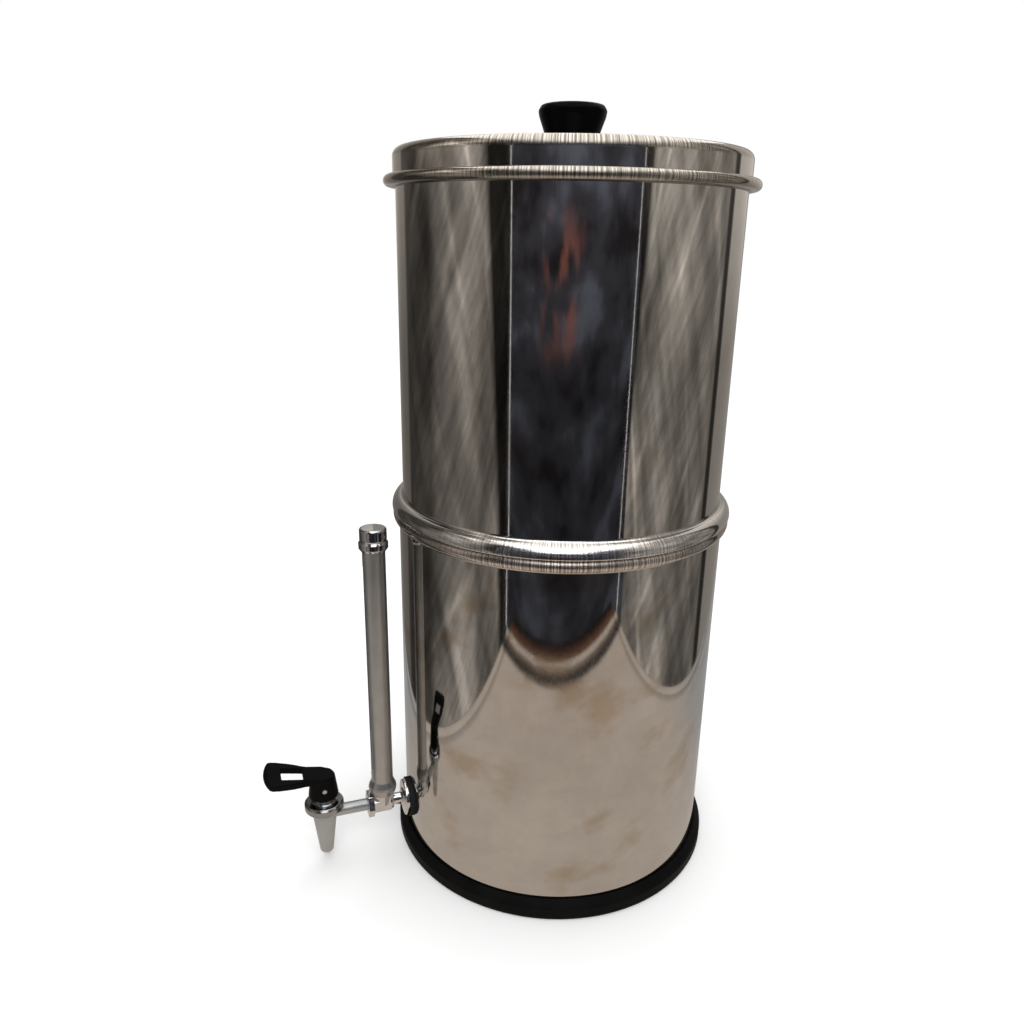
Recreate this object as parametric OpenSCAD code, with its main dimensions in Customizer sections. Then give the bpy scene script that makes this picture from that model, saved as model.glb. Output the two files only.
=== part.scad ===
// Gravity water filter: two stacked steel chambers, a lift-off lid, and a tap with a sight gauge.
// Millimetres, +Z up. The origin is the middle of the base ring's resting face.
// The tap points along -Y.

/* [Lower chamber] */
// Outer radius of the lower chamber's wall
lower_r = 107; // [100:1:125]
// Thickness of the sheet steel
sheet_t = 0.8; // [0.6:0.1:1.2]
// Height of the lower chamber's rim above the surface it stands on
lower_rim_z = 245.5; // [200:0.5:280]
// Radius of the half-round bead at the lower chamber's rim
rim_bead_r = 3.9; // [3:0.1:5]
// Outer radius of the bend between floor and wall
floor_bend_r = 5; // [3:0.5:8]

/* [Base ring] */
// Thickness of the base ring outside the chamber's wall
base_wall = 5.5; // [4:0.5:9]
// Height of the base ring where it meets the steel
base_h = 12.8; // [10:0.2:18]
// Thickness of the ledge under the chamber's floor
base_ledge_t = 3; // [2:0.5:5]
// Width of the ledge under the chamber's floor
base_ledge_w = 14; // [8:1:20]

/* [Upper chamber] */
// Step inward from the lower chamber's outer wall to the upper chamber's
upper_inset = 2.7; // [2.2:0.1:6]
// Height of the upper chamber from its floor to the top of its rim
upper_h = 235.5; // [200:0.5:260]
// Depth of the skirt that sits inside the lower chamber
skirt_h = 20.7; // [15:0.1:30]
// Overhang of the shoulder past the lower chamber's wall
shoulder_over = 4.4; // [4:0.1:5]
// Height of that shoulder
shoulder_h = 8.5; // [7:0.1:12]
// Radius of the shoulder's lower corner
shoulder_nose_r = 1; // [1:0.1:1.5]
// Radius of the curled rim under the lid
upper_curl_r = 1.5; // [1.2:0.1:1.8]

/* [Lid] */
// Gap between the lid's wall and the upper chamber's wall
lid_gap = 0.6; // [0.4:0.1:1.2]
// Height of the lid from the bottom of its bead to its top
lid_h = 20.5; // [18:0.5:30]
// Outer radius of the bend between the lid's top and wall
lid_bend_r = 5; // [4:0.5:6]
// Radius of the curled bead at the lid's lower edge
lid_curl_r = 2.4; // [2:0.1:3]

/* [Knob] */
// Largest radius of the knob
knob_r = 20.2; // [17:0.1:24]
// Radius of the knob's foot
knob_foot_r = 14.5; // [11:0.5:15]
// Height of the knob
knob_h = 26; // [22:1:32]
// Radius of the knob's screw
knob_screw_r = 2.5; // [2:0.5:3]
// Depth of the screw's hole in the knob
knob_hole_h = 14; // [10:1:16]
// Radius of the screw's head
knob_head_r = 4.8; // [4.5:0.1:6]
// Thickness of the screw's head
knob_head_h = 3; // [2:0.5:4]
// Radius of the screw's washer
knob_washer_r = 8; // [6.5:0.5:10]
// Thickness of the screw's washer
knob_washer_t = 1.2; // [0.8:0.2:2]

/* [Filters] */
// Radius of a filter element
element_r = 34.5; // [28:0.5:35]
// Height of a filter element above its base cap
element_h = 190; // [120:5:192]
// Distance of each filter and plug from the middle of the floor
hole_circle_r = 52; // [50:1:60]
// Height of a filter's base cap
cap_h = 12; // [8:1:16]
// Radius of a filter's threaded stem
stem_r = 5.5; // [5:0.1:6]
// Length of the stem below the floor
stem_drop = 22; // [18:1:28]
// Radius of the rubber washer under a filter
filter_washer_r = 14; // [12:0.5:16]
// Thickness of the rubber washer under a filter
filter_washer_t = 2.5; // [1.5:0.5:4]
// Radius of a wing nut's hub
wing_hub_r = 9.5; // [8:0.5:11]
// Height of a wing nut's hub
wing_hub_h = 7; // [5:1:10]
// Reach of a wing from the nut's axis
wing_reach = 21; // [16:1:24]
// Thickness of a wing
wing_t = 3; // [2:0.5:4]
// Height of a wing
wing_h = 12; // [8:1:14]
// Radius of a blanking plug's head
plug_head_r = 12; // [10:0.5:14]
// Height of a blanking plug's head
plug_head_h = 5; // [3:0.5:8]

/* [Tap shank] */
// Height of the tap's shank above the surface the filter stands on
tap_z = 34.9; // [32:0.1:36]
// Radius of the threaded shank through the wall
shank_r = 7.9; // [7:0.1:8.5]
// Length of the shank inside the chamber
shank_inside = 17; // [14:1:24]
// Radius of the flange outside the wall
flange_r = 12.5; // [11:0.5:14]
// Thickness of the flange
flange_t = 3; // [2:0.5:4]
// Radius of the rubber washers on the wall
wall_washer_r = 13.5; // [12.5:0.5:15]
// Thickness of the rubber washers on the wall
wall_washer_t = 2.4; // [2:0.1:3.5]
// Width across the flats of the nut inside the chamber
shank_nut_w = 23; // [20:1:26]
// Thickness of the nut inside the chamber
shank_nut_t = 5; // [4:0.5:7]

/* [Sight gauge] */
// Distance of the gauge's axis from the chamber's wall
gauge_out = 19.5; // [19.5:0.5:25]
// Radius of the tee's horizontal body
tee_r = 6.5; // [6:0.1:7.5]
// Length of the tee's horizontal body
tee_l = 14; // [13:0.5:16]
// Radius of the bar between flange, tee and tap
bar_r = 4.1; // [3.8:0.1:4.5]
// Radius of the water way through the shank
water_r = 2.6; // [2:0.1:2.8]
// Height of the tee's neck above the shank's axis
neck_h = 8.6; // [8.6:0.1:12]
// Outer radius of the guard tube
guard_r = 7.4; // [7.2:0.1:9]
// Wall thickness of the guard tube
guard_t = 1.2; // [0.8:0.1:1.3]
// Radius of the collar at the guard's foot
guard_collar_r = 9.7; // [9.2:0.1:12]
// Height of the collar at the guard's foot
guard_collar_h = 9.5; // [8:0.5:14]
// Height of the gauge's top
gauge_top_z = 239.5; // [200:0.5:243]
// Width of the slot that shows the glass
guard_slot_w = 5.5; // [4:0.5:7]
// Radius of the gauge glass
glass_r = 5.6; // [5:0.1:5.6]
// Wall thickness of the gauge glass
glass_t = 1.3; // [1:0.1:1.6]
// Thickness of the seals at the ends of the glass
seal_t = 2; // [1.5:0.1:2.4]
// Radius of the cap
cap_r = 8.7; // [8.6:0.1:10.5]
// Height of the cap
gauge_cap_h = 15; // [13:0.5:20]

/* [Tap] */
// Distance of the spout's axis from the gauge's axis
spout_out = 40.5; // [38:0.5:50]
// Radius of the barrel under the bonnet
barrel_r = 8; // [8:0.1:9]
// Radius of the spout's tip
spout_tip_r = 4.6; // [4.4:0.1:5]
// Height of the spout's tip above the surface the filter stands on
spout_tip_z = 4.5; // [3:0.5:8]
// Radius of the valve chamber inside the barrel
valve_r = 6.2; // [6:0.1:6.3]
// Depth of the valve's seat below the shank's axis
seat_drop = 7.9; // [7:0.1:9]
// Radius of the outlet under the seat
outlet_r = 3.3; // [3:0.1:3.4]
// Radius of the bonnet's ring
bonnet_r = 13.2; // [12.6:0.1:14]
// Height of the bonnet's ring
bonnet_h = 6; // [5:0.5:7]
// Height of the bonnet's neck
bonnet_neck_h = 3; // [2.5:0.1:4]
// Width across the flats of the jam nut
jam_nut_w = 16.2; // [14:0.1:16.2]
// Thickness of the jam nut
jam_nut_t = 4; // [3:0.5:5]

/* [Valve] */
// Radius of the valve stem
valve_stem_r = 3; // [2.5:0.1:3]
// Radius of the seat cup
cup_r = 5.2; // [4.6:0.1:5.4]
// Height of the seat cup
cup_h = 4; // [3:0.5:5]
// Depth of the stem's foot in the seat cup
cup_hole_h = 2.5; // [2:0.1:3]
// Radius of the spring's wire
wire_r = 0.45; // [0.35:0.05:0.55]
// Number of turns of the spring
spring_turns = 5; // [4:1:7]

/* [Lever] */
// Height of the lever's pin above the bonnet
pin_h = 9; // [8.5:0.5:11]
// Radius of the lever's pin
pin_r = 1.5; // [1.2:0.1:1.8]
// Radius of the lever's hub at its foot
hub_r = 10.2; // [10:0.1:12]
// Radius of the lever's hub at its top
hub_top_r = 8.2; // [7.8:0.1:9]
// Radius of the foot that rocks on the bonnet
cam_r = 5.5; // [4.5:0.1:6]
// Reach of the lever from the spout's axis
lever_reach = 38.5; // [34:0.5:50]
// Half of the lever's width at its tip
lever_half_w = 14; // [12.5:0.5:16]
// Half of the lever's width at its waist
waist_half_w = 8.2; // [8:0.1:9]
// Rise of the lever from hub to tip, in degrees
lever_rise = 12; // [6:1:16]
// Thickness of the lever over the hub
lever_t = 6; // [5:0.5:7]
// Thickness of the lever at its tip
lever_tip_t = 4.4; // [3.5:0.1:5]
// Length of the slot in the lever
slot_l = 14; // [10:1:15]
// Width of the slot in the lever
slot_w = 13; // [8:1:13]

/* [Clearances] */
// Gap between curved faces that stand close together
gap = 0.3; // [0.2:0.05:0.4]
// Gap between pieces that rest on each other and come apart
seat_gap = 0.2; // [0.1:0.05:0.3]
// Radial clearance of a thread or a fixed plug
thread_gap = 0.05; // [0.03:0.01:0.1]
// Radial clearance of a pin or stem that turns or slides
run_gap = 0.06; // [0.04:0.01:0.1]

/* [Hidden] */
$fn = 96;
fine = 48;
wall_fine = 720;
eps = 1;

steel = "silver";
satin = "darkgray";
bright = "gainsboro";
black = "#1c1c1c";
rubber = "#3a3a3a";
silicone = "whitesmoke";
carbon = "#4a4a4c";

// Lower chamber and base ring
base_r = lower_r + base_wall;
lower_floor_z = base_ledge_t;
lower_inner_r = lower_r - sheet_t;
rim_lip = 1.2;

// Upper chamber
upper_r = lower_r - upper_inset;
shoulder_r = lower_r + shoulder_over;
shoulder_z = lower_rim_z + seat_gap;
upper_floor_z = shoulder_z - skirt_h;
upper_floor_top = upper_floor_z + sheet_t;
upper_rim_z = upper_floor_z + upper_h;
curl_x = upper_r - upper_curl_r;
curl_z = upper_rim_z - upper_curl_r;
floor_hole_r = stem_r + 0.7;

// Lid
lid_inner_r = upper_r + lid_gap;
lid_r = lid_inner_r + sheet_t;
lid_bend_inner = lid_bend_r - sheet_t;
// The lid rests on the curled rim inside its own bend
lid_bend_z = curl_z - sqrt(
    pow(lid_bend_inner - upper_curl_r - seat_gap, 2) - pow(curl_x - (lid_r - lid_bend_r), 2));
lid_top_z = lid_bend_z + lid_bend_r;
lid_under_z = lid_top_z - sheet_t;

// Tap shank, measured outward from the chamber's axis
gauge_y = lower_r + gauge_out;
spout_y = gauge_y + spout_out;
washer_out = lower_r + wall_washer_t;
washer_in = lower_inner_r - wall_washer_t;
flange_out = washer_out + flange_t;
shank_in = lower_inner_r - shank_inside;
tee_in = gauge_y - tee_l / 2;
tee_out = gauge_y + tee_l / 2;
jam_out = tee_out + jam_nut_t;
socket_in = gauge_y + water_r + 1;

// Sight gauge
neck_z = tap_z + neck_h;
nipple_r = guard_r + 0.2;
nipple_h = guard_collar_h - 2.5;
seal_z = neck_z - 0.5;
glass_z = seal_z + seal_t;
gauge_cap_z = gauge_top_z - gauge_cap_h;
guard_top_z = gauge_cap_z + 4.5;
glass_top_z = guard_top_z + 0.2;
cap_ring_r = cap_r + 0.75;
cap_ring_h = 6.5;

// Tap
spout_taper_z = tap_z - 0.4;
bonnet_z = tap_z + 4.6;
thread_top_z = bonnet_z + 4;
bonnet_plate_z = thread_top_z + 0.1;
bonnet_ring_top = bonnet_z + bonnet_h;
bonnet_top = bonnet_ring_top + bonnet_neck_h;
bonnet_neck_r = 7.5;
bonnet_thread_r = 10.4;
seat_hole_r = outlet_r + 0.5;

// Valve
seat_z = tap_z - seat_drop;
cup_z = seat_z + 0.1;
valve_stem_z = cup_z + cup_h - cup_hole_h;
pin_z = bonnet_top + pin_h;
valve_stem_top = pin_z + 3.8;
spring_low = cup_z + cup_h;
spring_high = bonnet_plate_z;
spring_r = valve_stem_r + wire_r + 0.75;

// Lever: its middle line rises from the hub to the tip
cam_z = bonnet_top + 0.1;
hub_z = bonnet_top + 1.5;
lever_mid_z = pin_z + 6.7;
slot_from = 13;
hub_cavity_w = 2 * (valve_stem_r + 0.4);

// ---------------------------------------------------------------- shapes

function arc(c, r, a0, a1, n = 8) =
    [for (i = [0:n]) let (a = a0 + (a1 - a0) * i / n) c + r * [cos(a), sin(a)]];

function oval(c, rx, ry, a0, a1, n = 8) =
    [for (i = [0:n]) let (a = a0 + (a1 - a0) * i / n) c + [rx * cos(a), ry * sin(a)]];

function unit(v) = v / norm(v);

function left_of(a, b) = let (d = unit(b - a)) [-d[1], d[0]];

// Point i of an open path, moved sideways by t
function moved(path, i, t) =
    let (last = len(path) - 1,
         n1 = left_of(path[max(i - 1, 0)], path[max(i, 1)]),
         n2 = left_of(path[min(i, last - 1)], path[min(i + 1, last)]),
         m = unit(n1 + n2))
    path[i] + m * t / (m * n1);

// Outline of a sheet of thickness t on the left of a path, or on its right if t is negative
function sheet(path, t) =
    concat(path, [for (i = [len(path) - 1:-1:0]) moved(path, i, t)]);

// Places children on the tap's shank axis, with +Z pointing outward
module on_shank(out) {
    translate([0, -out, tap_z]) rotate([90, 0, 0]) children();
}

module on_gauge(z) {
    translate([0, -gauge_y, z]) children();
}

module on_spout(z) {
    translate([0, -spout_y, z]) children();
}

module tube(r, bore, h) {
    difference() {
        cylinder(r = r, h = h, $fn = fine);
        translate([0, 0, -eps]) cylinder(r = bore, h = h + 2 * eps, $fn = fine);
    }
}

module hex_nut(r, bore, h) {
    difference() {
        cylinder(r = r, h = h, $fn = 6);
        translate([0, 0, -eps]) cylinder(r = bore, h = h + 2 * eps, $fn = fine);
    }
}

// Both filters, on the X axis
module at_filters() {
    for (side = [-1, 1]) translate([side * hole_circle_r, 0, 0]) children();
}

// Both blanking plugs, on the Y axis
module at_plugs() {
    for (side = [-1, 1]) translate([0, side * hole_circle_r, 0]) children();
}

// A closed coil spring from z = 0 to z = h
module coil(r, wire, turns, h, sides = 8, steps = 20) {
    n = turns * steps;
    rise = h - 2 * wire;
    rings = [for (i = [0:n]) let (a = 360 * i / steps, z = wire + rise * i / n)
        for (j = [0:sides - 1]) let (b = 360 * j / sides)
            [(r + wire * cos(b)) * cos(a), (r + wire * cos(b)) * sin(a), z + wire * sin(b)]];
    sides_list = [for (i = [0:n - 1], j = [0:sides - 1])
        let (k = (j + 1) % sides)
            [i * sides + j, (i + 1) * sides + j, (i + 1) * sides + k, i * sides + k]];
    low = [for (j = [0:sides - 1]) j];
    high = [for (j = [sides - 1:-1:0]) n * sides + j];
    polyhedron(points = rings, faces = concat([low], sides_list, [high]), convexity = 10);
}

// ---------------------------------------------------------------- chambers

// Ring of black rubber that the lower chamber stands in
module base_ring() {
    inner = lower_r - floor_bend_r - base_ledge_w + 4;
    wall_r = lower_r + thread_gap;
    color(black) rotate_extrude() polygon([
        [inner, 0], [base_r - 1, 0], [base_r, 1], [base_r, base_h * 0.62], [base_r - 1, base_h * 0.72],
        [wall_r + 1, base_h], [wall_r, base_h], [wall_r, base_ledge_t], [inner, base_ledge_t]]);
}

module lower_chamber() {
    bead_z = lower_rim_z - rim_bead_r;
    path = concat(
        [[0, lower_floor_z]],
        arc([lower_r - floor_bend_r, lower_floor_z + floor_bend_r], floor_bend_r, -90, 0, 6),
        [[lower_r, bead_z - rim_bead_r - 0.6]],
        arc([lower_r, bead_z], rim_bead_r, -75, 90, 14),
        [[lower_r - rim_lip, lower_rim_z]]);
    color(steel) difference() {
        rotate_extrude() polygon(sheet(path, sheet_t));
        on_shank(lower_r - 10) cylinder(r = shank_r + gap, h = 20, $fn = fine);
    }
}

module upper_chamber() {
    path = concat(
        [[0, upper_floor_z]],
        arc([upper_r - floor_bend_r, upper_floor_z + floor_bend_r], floor_bend_r, -90, 0, 6),
        [[upper_r, shoulder_z], [shoulder_r - shoulder_nose_r, shoulder_z]],
        arc([shoulder_r - shoulder_nose_r, shoulder_z + shoulder_nose_r], shoulder_nose_r, -60, 0, 3),
        oval([upper_r, shoulder_z + shoulder_nose_r + 0.4], shoulder_r - upper_r,
            shoulder_h - shoulder_nose_r - 0.4, 0, 80, 8),
        [[upper_r, shoulder_z + shoulder_h + 1]],
        arc([curl_x, curl_z], upper_curl_r, 0, 200, 10));
    color(steel) difference() {
        rotate_extrude() polygon(sheet(path, sheet_t));
        at_filters() translate([0, 0, upper_floor_z - eps])
            cylinder(r = floor_hole_r, h = sheet_t + 2 * eps, $fn = fine);
        at_plugs() translate([0, 0, upper_floor_z - eps])
            cylinder(r = floor_hole_r, h = sheet_t + 2 * eps, $fn = fine);
    }
}

module lid() {
    curl_c = [lid_r + lid_curl_r, lid_top_z - lid_h + lid_curl_r];
    path = concat(
        [[0, lid_top_z]],
        arc([lid_r - lid_bend_r, lid_bend_z], lid_bend_r, 90, 0, 8),
        arc(curl_c, lid_curl_r, 180, 430, 16));
    color(steel) difference() {
        rotate_extrude() polygon(sheet(path, -sheet_t));
        translate([0, 0, lid_under_z - eps])
            cylinder(r = knob_screw_r + gap, h = sheet_t + 2 * eps, $fn = fine);
    }
}

module lid_knob() {
    path = [
        [0, 0], [knob_foot_r - 0.8, 0], [knob_foot_r, 0.8], [knob_foot_r + 0.2, knob_h * 0.2],
        [knob_foot_r * 0.6 + knob_r * 0.4, knob_h * 0.42], [knob_foot_r * 0.2 + knob_r * 0.8, knob_h * 0.66],
        [knob_r - 0.2, knob_h * 0.8], [knob_r, knob_h * 0.85], [knob_r - 0.4, knob_h * 0.92],
        [knob_r - 2, knob_h * 0.97], [knob_r * 0.5, knob_h - 0.15], [0, knob_h]];
    color(black) translate([0, 0, lid_top_z]) difference() {
        rotate_extrude() polygon(path);
        translate([0, 0, -eps]) cylinder(r = knob_screw_r + thread_gap, h = knob_hole_h + eps, $fn = fine);
    }
}

module knob_screw() {
    color(steel) translate([0, 0, lid_under_z - knob_washer_t]) {
        cylinder(r = knob_screw_r, h = knob_washer_t + sheet_t + knob_hole_h - 1, $fn = fine);
        translate([0, 0, -knob_head_h]) difference() {
            cylinder(r = knob_head_r, h = knob_head_h, $fn = fine);
            translate([-knob_head_r, -0.5, -eps]) cube([2 * knob_head_r, 1, eps + 1.2]);
        }
    }
}

module knob_washer() {
    color(rubber) translate([0, 0, lid_under_z - knob_washer_t])
        tube(knob_washer_r, knob_screw_r + gap, knob_washer_t);
}

// ---------------------------------------------------------------- filters

module filter_elements() {
    top_r = 6;
    color(carbon) at_filters() translate([0, 0, upper_floor_top + filter_washer_t + cap_h]) rotate_extrude()
        polygon(concat([[0, 0], [element_r, 0]],
            arc([element_r - top_r, element_h - top_r], top_r, 0, 90, 6), [[0, element_h]]));
}

// Base cap with the threaded stem that goes through the floor
module filter_bases() {
    cup_r = element_r + 1.5;
    color(black) at_filters() translate([0, 0, upper_floor_top + filter_washer_t]) {
        difference() {
            rotate_extrude() polygon([
                [0, 0], [cup_r - 4, 0], [cup_r, 4], [cup_r, cap_h + 5],
                [element_r + thread_gap, cap_h + 5], [element_r + thread_gap, cap_h], [0, cap_h]]);
            translate([0, 0, -eps]) cylinder(r = water_r, h = cap_h + 2 * eps, $fn = fine);
        }
        translate([0, 0, -filter_washer_t - sheet_t - stem_drop])
            tube(stem_r, water_r, filter_washer_t + sheet_t + stem_drop);
    }
}

module filter_washers() {
    color(rubber) at_filters() translate([0, 0, upper_floor_top])
        tube(filter_washer_r, stem_r + thread_gap, filter_washer_t);
}

// A nut with two wings, its top against the floor
module wing_nut() {
    difference() {
        union() {
            cylinder(r = wing_hub_r, h = wing_hub_h, $fn = fine);
            for (side = [0, 180]) rotate([0, 0, side]) translate([0, wing_t / 2, 0]) rotate([90, 0, 0])
                linear_extrude(wing_t) polygon([
                    [wing_hub_r - 2, 0], [wing_reach - 3, -wing_h + wing_hub_h], [wing_reach, -wing_h + wing_hub_h + 3],
                    [wing_reach, wing_hub_h - 3], [wing_hub_r - 2, wing_hub_h - 1]]);
        }
        translate([0, 0, -wing_h]) cylinder(r = stem_r + thread_gap, h = 2 * wing_h + wing_hub_h, $fn = fine);
    }
}

module filter_wing_nuts() {
    color(black) at_filters() translate([0, 0, upper_floor_z - wing_hub_h]) rotate([0, 0, 20]) wing_nut();
}

// Rubber plugs in the two floor holes that hold no filter
module blanking_plugs() {
    color(rubber) at_plugs() translate([0, 0, upper_floor_z - stem_drop + 6]) {
        cylinder(r = stem_r, h = stem_drop + sheet_t, $fn = fine);
        translate([0, 0, stem_drop + sheet_t - 6]) cylinder(r = plug_head_r, h = plug_head_h, $fn = fine);
    }
}

module plug_nuts() {
    color(black) at_plugs() translate([0, 0, upper_floor_z - wing_hub_h]) rotate([0, 0, 70]) wing_nut();
}

// ---------------------------------------------------------------- sight gauge

// Threaded shank, flange, and the tee that feeds both the gauge and the tap
module gauge_tee() {
    color(bright) difference() {
        union() {
            on_shank(shank_in) cylinder(r = shank_r, h = washer_out - shank_in, $fn = fine);
            on_shank(washer_out) cylinder(r = flange_r, h = flange_t, $fn = fine);
            on_shank(flange_out - eps) cylinder(r = bar_r, h = tee_in - flange_out + 2 * eps, $fn = fine);
            on_shank(tee_in) rotate_extrude() polygon(concat(
                oval([0, tee_l / 2], tee_r, tee_l / 2, -60, 0, 6), [[tee_r, tee_l], [0, tee_l], [0, eps]]));
            on_gauge(tap_z) cylinder(r = nipple_r + 0.4, h = neck_z - tap_z, $fn = 6);
            on_gauge(neck_z - gap) cylinder(r = nipple_r, h = nipple_h + gap, $fn = fine);
        }
        on_shank(shank_in - eps) cylinder(r = water_r, h = gauge_y - shank_in + 2 * eps, $fn = fine);
        on_shank(gauge_y) cylinder(r = water_r, h = socket_in - gauge_y + eps, $fn = fine);
        on_shank(socket_in) cylinder(r = bar_r - 0.2 + thread_gap, h = tee_out - socket_in + eps, $fn = fine);
        on_gauge(tap_z) cylinder(r = water_r, h = neck_z - tap_z, $fn = fine);
        on_gauge(seal_z) cylinder(r = glass_r + run_gap, h = nipple_h + eps, $fn = fine);
    }
}

// Rubber washers that follow the curve of the wall
module outer_washer() {
    color(rubber) difference() {
        on_shank(lower_r - 4) cylinder(r = wall_washer_r, h = wall_washer_t + 4, $fn = fine);
        on_shank(lower_r - 5) cylinder(r = shank_r + thread_gap, h = wall_washer_t + 10, $fn = fine);
        cylinder(r = lower_r + thread_gap, h = 2 * tap_z, $fn = wall_fine);
    }
}

module inner_washer() {
    color(rubber) intersection() {
        on_shank(washer_in) tube(wall_washer_r, shank_r + thread_gap, 2 * wall_washer_t);
        cylinder(r = lower_inner_r - thread_gap, h = 2 * tap_z, $fn = wall_fine);
    }
}

module shank_nut() {
    color(bright) on_shank(washer_in - shank_nut_t) rotate([0, 0, 30])
        hex_nut(shank_nut_w / sqrt(3), shank_r + thread_gap, shank_nut_t);
}

// Slotted metal tube that guards the glass; the slot faces outward
module gauge_guard() {
    bore = guard_r - guard_t;
    collar_bore = nipple_r + thread_gap;
    slot_low = neck_z + 19;
    slot_high = gauge_cap_z - 13;
    color(satin) difference() {
        on_gauge(neck_z) rotate_extrude() polygon([
            [collar_bore, 0], [guard_collar_r - 1.4, 0], [guard_collar_r - 0.4, guard_collar_h * 0.25],
            [guard_collar_r, guard_collar_h * 0.45], [guard_collar_r - 0.5, guard_collar_h * 0.68],
            [guard_r, guard_collar_h + 1], [guard_r, guard_top_z - neck_z],
            [bore, guard_top_z - neck_z], [bore, nipple_h + 0.2], [collar_bore, nipple_h + 0.2]]);
        translate([-guard_slot_w / 2, -gauge_y - 2 * guard_r, slot_low])
            cube([guard_slot_w, 2 * guard_r, slot_high - slot_low]);
        for (z = [slot_low, slot_high]) translate([0, -gauge_y, z]) rotate([90, 0, 0])
            cylinder(r = guard_slot_w / 2, h = 2 * guard_r, $fn = fine);
    }
}

module gauge_glass() {
    color("lightcyan", 0.4) on_gauge(glass_z) tube(glass_r, glass_r - glass_t, glass_top_z - glass_z);
}

// Seals at the ends of the glass
module gauge_seal(z) {
    color(silicone) on_gauge(z) tube(glass_r, glass_r - glass_t - 0.4, seal_t);
}

module gauge_lower_seal() {
    gauge_seal(seal_z);
}

module gauge_upper_seal() {
    gauge_seal(glass_top_z);
}

module gauge_cap() {
    socket_r = guard_r + thread_gap;
    seal_top = glass_top_z + seal_t - gauge_cap_z;
    color(bright) on_gauge(gauge_cap_z) difference() {
        rotate_extrude() polygon(concat(
            [[0, 0], [cap_ring_r - 1.3, 0], [cap_ring_r, 1.8], [cap_ring_r, cap_ring_h - 1.2],
             [cap_ring_r - 0.5, cap_ring_h - 0.5], [cap_r - 0.3, cap_ring_h], [cap_r, cap_ring_h + 1]],
            arc([cap_r - 1.5, gauge_cap_h - 1.5], 1.5, 0, 80, 4), [[0, gauge_cap_h]]));
        translate([0, 0, -eps]) cylinder(r = socket_r, h = guard_top_z - gauge_cap_z + eps, $fn = fine);
        cylinder(r = glass_r + run_gap, h = seal_top, $fn = fine);
        cylinder(r = glass_r - glass_t, h = seal_top + 3, $fn = fine);
        translate([0, 0, seal_top + 1.5]) rotate([-90, 0, 0]) cylinder(r = 0.8, h = 2 * cap_r, $fn = fine);
    }
}

// ---------------------------------------------------------------- tap

module jam_nut() {
    color(bright) on_shank(tee_out) hex_nut(jam_nut_w / sqrt(3), bar_r - 0.2 + thread_gap, jam_nut_t);
}

// Barrel, tapered spout and the bar that screws into the tee
module faucet_body() {
    thread_l = tee_out + jam_nut_t - socket_in - 0.2;
    color(satin) difference() {
        union() {
            on_spout(0) rotate_extrude() polygon([
                [0, spout_tip_z], [spout_tip_r - 0.8, spout_tip_z], [spout_tip_r, spout_tip_z + 1.2],
                [barrel_r, spout_taper_z], [barrel_r, tap_z + 1], [bonnet_r - 1.2, bonnet_z],
                [bonnet_thread_r, bonnet_z], [bonnet_thread_r, thread_top_z], [0, thread_top_z]]);
            on_shank(jam_out) cylinder(r = bar_r, h = spout_y - jam_out - valve_r / 2, $fn = fine);
            on_shank(socket_in + 0.2) cylinder(r = bar_r - 0.2, h = thread_l + eps, $fn = fine);
        }
        on_spout(seat_z) cylinder(r = valve_r, h = thread_top_z - seat_z + eps, $fn = fine);
        on_spout(seat_z - 3) cylinder(r = seat_hole_r, h = 3 + eps, $fn = fine);
        on_spout(spout_tip_z - eps) cylinder(r = outlet_r, h = seat_z - spout_tip_z, $fn = fine);
        on_shank(socket_in - eps) cylinder(r = water_r, h = spout_y - socket_in, $fn = fine);
    }
}

module bonnet() {
    color(bright) on_spout(0) rotate_extrude() polygon([
        [bonnet_thread_r + thread_gap, bonnet_z], [bonnet_r - 0.8, bonnet_z], [bonnet_r, bonnet_z + 0.8],
        [bonnet_r, bonnet_ring_top - 1.5], [bonnet_r - 1.5, bonnet_ring_top],
        [bonnet_neck_r + 0.8, bonnet_ring_top], [bonnet_neck_r, bonnet_ring_top + 0.8],
        [bonnet_neck_r, bonnet_top - 0.5], [bonnet_neck_r - 0.5, bonnet_top],
        [valve_stem_r + run_gap, bonnet_top], [valve_stem_r + run_gap, bonnet_plate_z],
        [bonnet_thread_r + thread_gap, bonnet_plate_z]]);
}

module faucet_stem() {
    color(bright) difference() {
        on_spout(valve_stem_z) cylinder(r = valve_stem_r, h = valve_stem_top - valve_stem_z, $fn = fine);
        on_spout(pin_z) rotate([0, 90, 0])
            cylinder(r = pin_r + thread_gap, h = 4 * valve_stem_r, center = true, $fn = fine);
    }
}

module seat_cup() {
    color(silicone) on_spout(cup_z) difference() {
        rotate_extrude() polygon([[0, 0], [cup_r - 0.8, 0], [cup_r, 0.8], [cup_r, cup_h - 1],
            [cup_r - 0.6, cup_h], [0, cup_h]]);
        translate([0, 0, cup_h - cup_hole_h]) cylinder(r = valve_stem_r + thread_gap, h = cup_h, $fn = fine);
    }
}

module stem_spring() {
    color(steel) on_spout(spring_low + 0.1)
        coil(spring_r, wire_r, spring_turns, spring_high - spring_low - 0.2);
}

module handle_pin() {
    pin_half_l = hub_r - (hub_r - hub_top_r) / 2 - 0.4;
    color(steel) on_spout(pin_z) rotate([0, 90, 0])
        cylinder(r = pin_r, h = 2 * pin_half_l, center = true, $fn = fine);
}

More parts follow.
